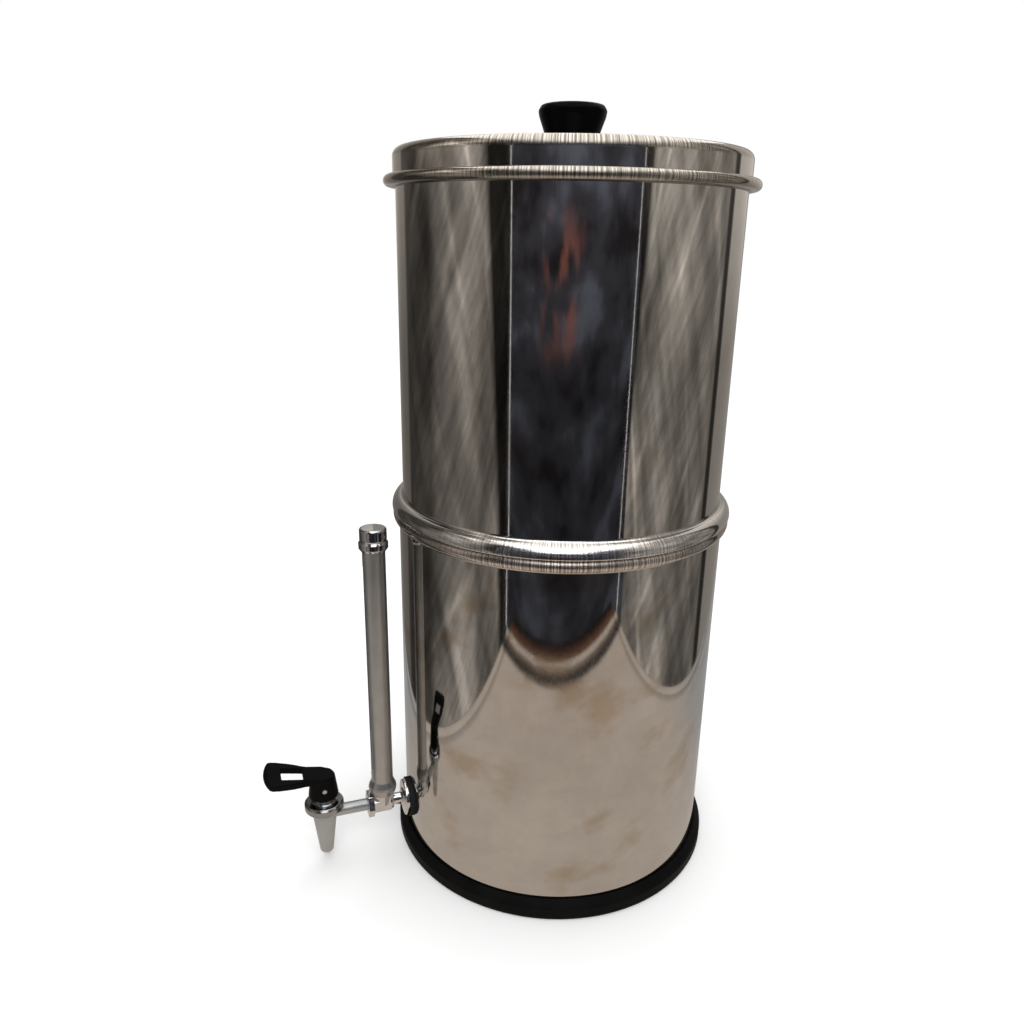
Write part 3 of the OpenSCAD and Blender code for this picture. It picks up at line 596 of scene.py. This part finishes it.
def bonnet_line():
    """The bonnet's outline: a ring with a boss that the valve's stem runs through."""
    bore, stem_bore, seat_z = 10.45, 3.06, 43.6
    return rounded([
        (bore, bonnet_low_z), (12.6, bonnet_low_z, 0.4), (13.2, 40.3, 0.6), (13.2, 44.0, 0.8),
        (11.8, 45.5, 0.8), (8.4, 45.5, 0.6), (7.5, 46.3, 0.5), (7.5, 48.1, 0.4), (7.0, bonnet_top_z, 0.3),
        (stem_bore, bonnet_top_z), (stem_bore, seat_z), (bore, seat_z)], closed=True)


def make_jam_nut():
    bm = bmesh.new()
    prism(bm, hexagon(16.2), 0, jam_nut_h, along_shank(tee_out), 0.45)
    dress(piece_from(bm, "jam_nut_hex", 25), "root", ["jam_nut"], chrome)


def threads(low, high, pitch, crest, root):
    """Line up the flank of a thread, drawn as closed rings."""
    count = int((high - low) / pitch)
    ridge = ((root, 0.1), (crest, 0.4), (crest, 0.6), (root, 0.9))
    return [(r, low + pitch * (i + t)) for i in range(count) for r, t in ridge]


def make_tee():
    """Threaded shank with its flange, the tee's hexagonal body, and the neck and nipple for the gauge."""
    bm = bmesh.new()
    outer = [(water_r, shank_in), (shank_r - 0.6, shank_in, 0.4)]
    outer += threads(shank_in + 0.8, 106.2, 1.6, shank_r, shank_r - 0.5)
    outer += [
        (shank_r, 106.4), (shank_r, washer_out), (flange_r, washer_out, 0.5),
        (flange_r, flange_out - 0.2, 1.1), (7.2, flange_out, 0.8), (6.6, 113.2, 0.8), (bar_r, 114.0, 0.6),
        (bar_r, tee_in), (5.4, tee_in, 0.8), (6.4, tee_in + 1.6, 0.5), (6.4, tee_out - 0.3),
        (water_r, tee_out - 0.3)]
    turn(bm, rounded(outer, closed=True), fitting_turns, along_shank(0))
    prism(bm, hexagon(13.0, 30), tee_in + 2.4, tee_out, along_shank(0), 0.5)
    prism(bm, hexagon((nipple_r + 0.4) * math.sqrt(3)), tap_z + 1, neck_z, above(gauge_y), 0.5)
    nipple_top, glass_floor = neck_z + nipple_h, neck_z - 0.5
    nipple = [
        (water_r, tap_z + 2), (7.0, tap_z + 2), (7.0, neck_z - 0.2), (nipple_r, neck_z - 0.2, 0.1),
        (nipple_r, nipple_top, 0.4), (glass_bore_r, nipple_top, 0.3), (glass_bore_r, glass_floor),
        (water_r, glass_floor)]
    turn(bm, rounded(nipple, closed=True), bore_turns, above(gauge_y))
    dress(piece_from(bm, "gauge_tee_dressed", 28), "root", ["gauge_tee"], chrome)


def make_lever():
    """The lever's solid with the soft edges of a moulding."""
    lever = bpy.data.objects.new("lever_moulding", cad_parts["lever_handle"].data.copy())
    scene.collection.objects.link(lever)
    remesh = lever.modifiers.new("remesh", "REMESH")
    remesh.mode, remesh.voxel_size = "VOXEL", 0.45 * MM
    smooth = lever.modifiers.new("smooth", "SMOOTH")
    smooth.factor, smooth.iterations = 0.5, 9
    keep_modified(lever)
    lever.data.polygons.foreach_set("use_smooth", [True] * len(lever.data.polygons))
    dress(lever, "lever", ["lever_handle"], lever_black)


def make_spring():
    """Coil between the valve's cup, which it rides on, and the bonnet."""
    low, high = (corner[2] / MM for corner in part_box("stem_spring"))
    wire_r, coil_r, coils, steps_round, sides = 0.45, 4.2, 5, 30, 10
    count = coils * steps_round
    rim = arc(0, 0, wire_r, 0, 360, sides)[:-1]
    bm = bmesh.new()
    rings = []
    for i in range(count + 1):
        a = 2 * math.pi * i / steps_round
        z = low + wire_r + (high - low - 2 * wire_r) * i / count
        points = [((coil_r + out) * math.cos(a), (coil_r + out) * math.sin(a), z + up) for out, up in rim]
        rings.append([bm.verts.new(above(spout_y) @ Vector(p) * MM) for p in points])
    bridge(bm, rings)
    spring = dress(piece_from(bm, "valve_spring_coil"), "valve", ["stem_spring"], spring_wire)
    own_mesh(spring)


make_guard()
make_tee()
make_lever()
make_spring()
turned("gauge_cap_turned", [(r, z + gauge_cap_z) for r, z in cap_line()], "root", ["gauge_cap"],
       chrome, fitting_turns, above(gauge_y))
make_tap_body()
turned("bonnet_ring", bonnet_line(), "root", ["bonnet"], dark_chrome, fitting_turns,
       above(spout_y))
make_jam_nut()

# ------------------------------------------------------------------ carried-over CAD nodes

finishes = {
    "knob_screw": chrome, "knob_washer": seal_rubber, "filter_elements": carbon_block,
    "filter_bases": fitting_black, "filter_washers": seal_rubber, "filter_wing_nuts": fitting_black,
    "blanking_plugs": seal_rubber, "plug_nuts": fitting_black, "outer_washer": seal_rubber,
    "inner_washer": seal_rubber, "shank_nut": chrome, "gauge_glass": gauge_glass,
    "gauge_lower_seal": milky_silicone, "gauge_upper_seal": milky_silicone, "faucet_stem": chrome,
    "seat_cup": milky_silicone, "handle_pin": spring_wire,
}
for node_name, finish in finishes.items():
    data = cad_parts[node_name].data
    data.materials.clear()
    data.materials.append(finish)

# ------------------------------------------------------------------ stage: floor, and what the steel mirrors

# u runs towards the camera and v to the picture's right.
camera_azimuth = math.radians(-22.56)
floor_z = -0.0002
left_v, right_v, front_u, back_u, tent_top = -0.255, 0.345, 0.445, -0.55, 0.80
wall_near_u = 0.40
wood_near_u, wood_z = 0.525, -0.02
room_u = 2.2


def stage_plane(name, corners, material, mirrored_only=True):
    """A flat stage piece with corners (u, v, height), seen only by reflections if mirrored_only."""
    mesh = bpy.data.meshes.new(name)
    mesh.from_pydata(corners, [], [tuple(range(len(corners)))])
    obj = bpy.data.objects.new(name, mesh)
    scene.collection.objects.link(obj)
    obj.rotation_euler.z = camera_azimuth
    mesh.materials.append(material)
    obj.visible_glossy = mirrored_only
    for ray in ("camera", "diffuse", "shadow", "transmission", "volume_scatter"):
        setattr(obj, "visible_" + ray, not mirrored_only)


def glow(name):
    """Emission material with an empty tree to fill; returns it, its tree and its emission node."""
    material = bpy.data.materials.new(name)
    material.use_nodes = True
    tree = material.node_tree
    tree.nodes.clear()
    emission = put(tree, "Emission")
    output = put(tree, "OutputMaterial")
    tree.links.new(emission.outputs[0], output.inputs["Surface"])
    material.cycles.emission_sampling = "NONE"
    return material, tree, emission


def pale_floor_material():
    material, tree, bsdf = new_material("pale_floor")
    cloud = noise(tree, (3, 3, 3), detail=3)
    tree.links.new(ramp(tree, cloud, [(0.3, 0.90), (0.7, 0.93)]), bsdf.inputs["Base Color"])
    bsdf.inputs["Roughness"].default_value = 0.9
    bsdf.inputs["Specular IOR Level"].default_value = 0.1
    return material


def creases(tree, tilt, scale):
    """Thin bright lines along one slant, where a noise passes its middle."""
    wave = noise(tree, (scale, 1, scale * 0.16), (0, tilt, 0), detail=1.5, roughness=0.5)
    off = math_node(tree, "ABSOLUTE", math_node(tree, "SUBTRACT", wave, 0.5))
    return mapped(tree, off, 0.0, 0.028, 1.0, 0.0)


def folds(tree, tilt):
    """Creased cloth: a factor about 1 that varies along folds which slant both ways."""
    wide = mapped(tree, noise(tree, (14, 1, 2.5), (0, tilt, 0), detail=2), 0.35, 0.65, 0.6, 1.4)
    cross = mapped(tree, noise(tree, (18, 1, 3), (0, -tilt * 0.8, 0), detail=2), 0.35, 0.65, 0.7, 1.35)
    fine = noise(tree, (110, 1, 16), (0, tilt * 1.1, 0), detail=3, roughness=0.7)
    weave = mapped(tree, fine, 0.3, 0.7, 0.75, 1.25)
    lines = math_node(tree, "ADD", creases(tree, tilt, 9), creases(tree, -tilt * 0.7, 6))
    sparse = math_node(tree, "MULTIPLY", lines, mapped(tree, noise(tree, (6, 1, 5), detail=1), 0.42, 0.6))
    lit = math_node(tree, "MULTIPLY_ADD", sparse, 0.75, 0.92)
    broad = math_node(tree, "MULTIPLY", wide, cross)
    return math_node(tree, "MULTIPLY", broad, math_node(tree, "MULTIPLY", weave, lit))


def cloth_wall_material(name, stops, edge_low, edge_high, tint, tilt):
    """Side of the light tent. stops give its brightness by depth u, back to front; its front edge slants."""
    material, tree, emission = glow(name)
    axes = object_axes(tree)
    depth, height = axes["X"], axes["Z"]
    back, front = stops[0][0], stops[-1][0]
    level = ramp(tree, mapped(tree, depth, back, front), [((d - back) / (front - back), b) for d, b in stops])
    edge = mapped(tree, height, 0.05, 0.45, edge_low, edge_high)
    inside = mapped(tree, math_node(tree, "SUBTRACT", edge, depth), 0.0, 0.03, 0.07, 1.0)
    level = math_node(tree, "MULTIPLY", level, mapped(tree, height, 0.31, 0.48, 0.95, 2.1))
    creased = mapped(tree, depth, -0.10, -0.05)
    off_even = math_node(tree, "SUBTRACT", folds(tree, tilt), 1.0)
    cloth = math_node(tree, "MULTIPLY_ADD", off_even, creased, 1.0)
    strength = math_node(tree, "MULTIPLY", math_node(tree, "MULTIPLY", level, inside), cloth)
    emission.inputs["Color"].default_value = (*tint, 1)
    tree.links.new(strength, emission.inputs["Strength"])
    return material


def plain_glow(name, colour, strength, variation):
    """Evenly lit cloth or card with a soft variation."""
    material, tree, emission = glow(name)
    emission.inputs["Color"].default_value = (*colour, 1)
    soft = noise(tree, (6, 6, 6), detail=2)
    tree.links.new(mapped(tree, soft, 0.3, 0.7, strength * (1 - variation), strength * (1 + variation)),
                   emission.inputs["Strength"])
    return material


def table_material():
    """Beige tent floor with a rolled rim on three sides, and a shadow before the rim on the near side."""
    material, tree, emission = glow("table_top")
    axes = object_axes(tree)
    depth, across = axes["X"], axes["Y"]
    near = math_node(tree, "SUBTRACT", front_u, depth)
    uneven = math_node(tree, "MULTIPLY_ADD", noise(tree, (14, 14, 14), detail=3), 0.012, near)
    near = math_node(tree, "SUBTRACT", uneven, 0.006)
    side = math_node(tree, "MINIMUM", math_node(tree, "SUBTRACT", across, left_v),
                     math_node(tree, "SUBTRACT", right_v, across))
    beige, shade, rim = (0.54, 0.455, 0.385), (0.06, 0.05, 0.045), (0.52, 0.45, 0.375)
    near_colour = ramp(tree, mapped(tree, near, 0.0, 0.32), [
        (0.0, (0.30, 0.25, 0.21)), (0.012, rim), (0.046, rim), (0.066, (0.20, 0.15, 0.12)), (0.115, shade),
        (0.14, shade), (0.19, beige), (1.0, (0.565, 0.49, 0.42))])
    side_level = ramp(tree, mapped(tree, side, 0.0, 0.038), [
        (0.0, 0.25), (0.06, 0.95), (0.36, 1.05), (0.46, 0.62), (0.58, 0.72), (0.85, 1.0)])
    grey_back = put(tree, "Mix", {"Factor": mapped(tree, depth, 0.06, -0.12), "A": near_colour,
                                  "B": (0.36, 0.355, 0.35, 1)}, data_type="RGBA").outputs["Result"]
    scaled = put(tree, "Mix", {"Factor": 1.0, "A": grey_back, "B": side_level},
                 data_type="RGBA", blend_type="MULTIPLY").outputs["Result"]
    tree.links.new(scaled, emission.inputs["Color"])
    soft = noise(tree, (8, 8, 8), detail=3)
    tree.links.new(mapped(tree, soft, 0.3, 0.7, 0.93, 1.07), emission.inputs["Strength"])
    return material


def room_material():
    """Dark room in front of the tent: blurred bluish shapes, and one reddish one."""
    material, tree, emission = glow("room_front")
    patch = noise(tree, (1, 0.8, 4.2), detail=5, roughness=0.62)
    blue = ramp(tree, patch, [
        (0.36, (0.010, 0.009, 0.010)), (0.5, (0.026, 0.026, 0.031)), (0.66, (0.064, 0.070, 0.088))])
    axes = object_axes(tree)
    streak_v, streak_z = -0.15, 0.26
    beside = math_node(tree, "ABSOLUTE", math_node(tree, "SUBTRACT", axes["Y"], streak_v))
    above_or_below = math_node(tree, "ABSOLUTE", math_node(tree, "SUBTRACT", axes["Z"], streak_z))
    streak = math_node(tree, "MULTIPLY", mapped(tree, beside, 0.25, 0.6, 1.0, 0.0),
                       mapped(tree, above_or_below, 0.1, 0.25, 1.0, 0.0))
    ragged = mapped(tree, noise(tree, (1, 3, 6), detail=4), 0.46, 0.60, 0.0, 0.8)
    mix = put(tree, "Mix", {"Factor": math_node(tree, "MULTIPLY", streak, ragged), "A": blue,
                            "B": (0.16, 0.062, 0.05, 1)}, data_type="RGBA")
    tree.links.new(mix.outputs["Result"], emission.inputs["Color"])
    tree.links.new(mapped(tree, axes["Z"], -0.1, 0.45, 0.95, 2.0), emission.inputs["Strength"])
    return material


def brown_material():
    """Brown wood beyond the table, fading into the dark."""
    material, tree, emission = glow("brown_wood")
    fade = mapped(tree, object_axes(tree)["X"], front_u, 0.52)
    tones = [(0.0, (0.30, 0.17, 0.11)), (0.4, (0.15, 0.07, 0.04)), (1.0, (0.014, 0.013, 0.014))]
    tree.links.new(ramp(tree, fade, tones), emission.inputs["Color"])
    return material


# Brightness of the walls by depth u, each with a dark gap and a brighter stretch.
left_stops = [
    (-0.55, 0.30), (-0.12, 0.15), (-0.09, 0.05), (0.03, 0.055), (0.07, 0.15), (0.12, 0.24), (0.165, 0.34),
    (0.21, 0.27), (0.25, 0.16), (0.45, 0.18)]
right_stops = [
    (-0.55, 0.32), (-0.135, 0.28), (-0.115, 0.03), (-0.09, 0.03), (-0.07, 0.17), (0.06, 0.19),
    (0.11, 0.24), (0.15, 0.36), (0.23, 0.33), (0.29, 0.21), (0.50, 0.16)]


def upright(v, near, far, low, high):
    """Corners of an upright plane at v, from depth near to far."""
    return [(near, v, low), (far, v, low), (far, v, high), (near, v, high)]


def level_plane(z, near, far, left, right):
    """Corners of a level plane at z, from depth near to far."""
    return [(near, left, z), (far, left, z), (far, right, z), (near, right, z)]


def facing(u, left, right, low, high, lean=0.0):
    """Corners of a plane that faces the object from depth u, its top shifted by lean."""
    return [(u, left, low), (u, right, low), (u, right + lean, high), (u, left + lean, high)]


stage_plane("floor", level_plane(floor_z, -30, 30, -30, 30), pale_floor_material(), mirrored_only=False)
stage_plane("table_top", level_plane(floor_z, back_u, front_u, left_v, right_v), table_material())
stage_plane("tent_left", upright(left_v, back_u, wall_near_u, floor_z, tent_top),
            cloth_wall_material("tent_left", left_stops, 0.385, 0.275, (1.0, 0.91, 0.82), 0.95))
stage_plane("tent_right", upright(right_v, back_u, wall_near_u, floor_z, tent_top),
            cloth_wall_material("tent_right", right_stops, 0.47, 0.36, (1.0, 0.92, 0.83), -0.95))
stage_plane("tent_back", facing(back_u, left_v, right_v, floor_z, tent_top),
            plain_glow("tent_back", (1.0, 0.96, 0.91), 0.30, 0.12))
stage_plane("tent_top", level_plane(tent_top, back_u, front_u, left_v, right_v),
            plain_glow("tent_top", (1.0, 0.985, 0.96), 2.0, 0.1))
stage_plane("front_light", level_plane(tent_top, front_u, 1.05, -0.20, 0.28),
            plain_glow("front_light", (1.0, 0.985, 0.96), 2.2, 0.1))
stage_plane("room_front", facing(room_u, -3, 3, -1.5, 3), room_material())
stage_plane("brown_wood", level_plane(wood_z, front_u, wood_near_u, -0.26, 0.36), brown_material())
post_glow = plain_glow("post", (1.0, 0.98, 0.95), 0.9, 0.15)
stage_plane("post_left", facing(front_u, -0.264, -0.259, 0.0, tent_top, -0.03), post_glow)
stage_plane("post_right", facing(front_u, 0.345, 0.351, 0.0, tent_top, 0.04), post_glow)

# ------------------------------------------------------------------ light

lamp = bpy.data.objects.new("side", bpy.data.lights.new("side", "AREA"))
lamp.data.shape, lamp.data.size, lamp.data.energy = "DISK", 1.2, 12
scene.collection.objects.link(lamp)
lamp.location = (1.4, -0.6, 1.3)
lamp.rotation_euler = (-lamp.location).to_track_quat("-Z", "Y").to_euler()
lamp.visible_glossy = False

sun = bpy.data.objects.new("sky_light", bpy.data.lights.new("sky_light", "SUN"))
sun.data.energy, sun.data.angle = 0.7, math.radians(50)
scene.collection.objects.link(sun)
sun.rotation_euler = Vector((-0.2, 0.15, 1)).to_track_quat("Z", "Y").to_euler()
sun.visible_glossy = False

world = bpy.data.worlds.new("studio")
scene.world = world
world.use_nodes = True
world.node_tree.nodes["Background"].inputs["Color"].default_value = (1, 1, 1, 1)
world.node_tree.nodes["Background"].inputs["Strength"].default_value = 1.0
world.cycles_visibility.glossy = False
scene.view_settings.view_transform = "Standard"

# ------------------------------------------------------------------ camera

camera = bpy.data.objects.new("camera", bpy.data.cameras.new("camera"))
scene.collection.objects.link(camera)
scene.camera = camera
camera.data.sensor_width = 36.0
camera.data.lens = 29.554
camera.location = (0.49941, -0.21018, 0.41631)
looking = Vector((-0.89506, 0.31638, -0.31430))
roll = Quaternion((0, 0, 1), math.radians(0.955))
camera.rotation_mode = "QUATERNION"
camera.rotation_quaternion = looking.to_track_quat("-Z", "Y") @ roll
camera.data.clip_start, camera.data.clip_end = 0.01, 100
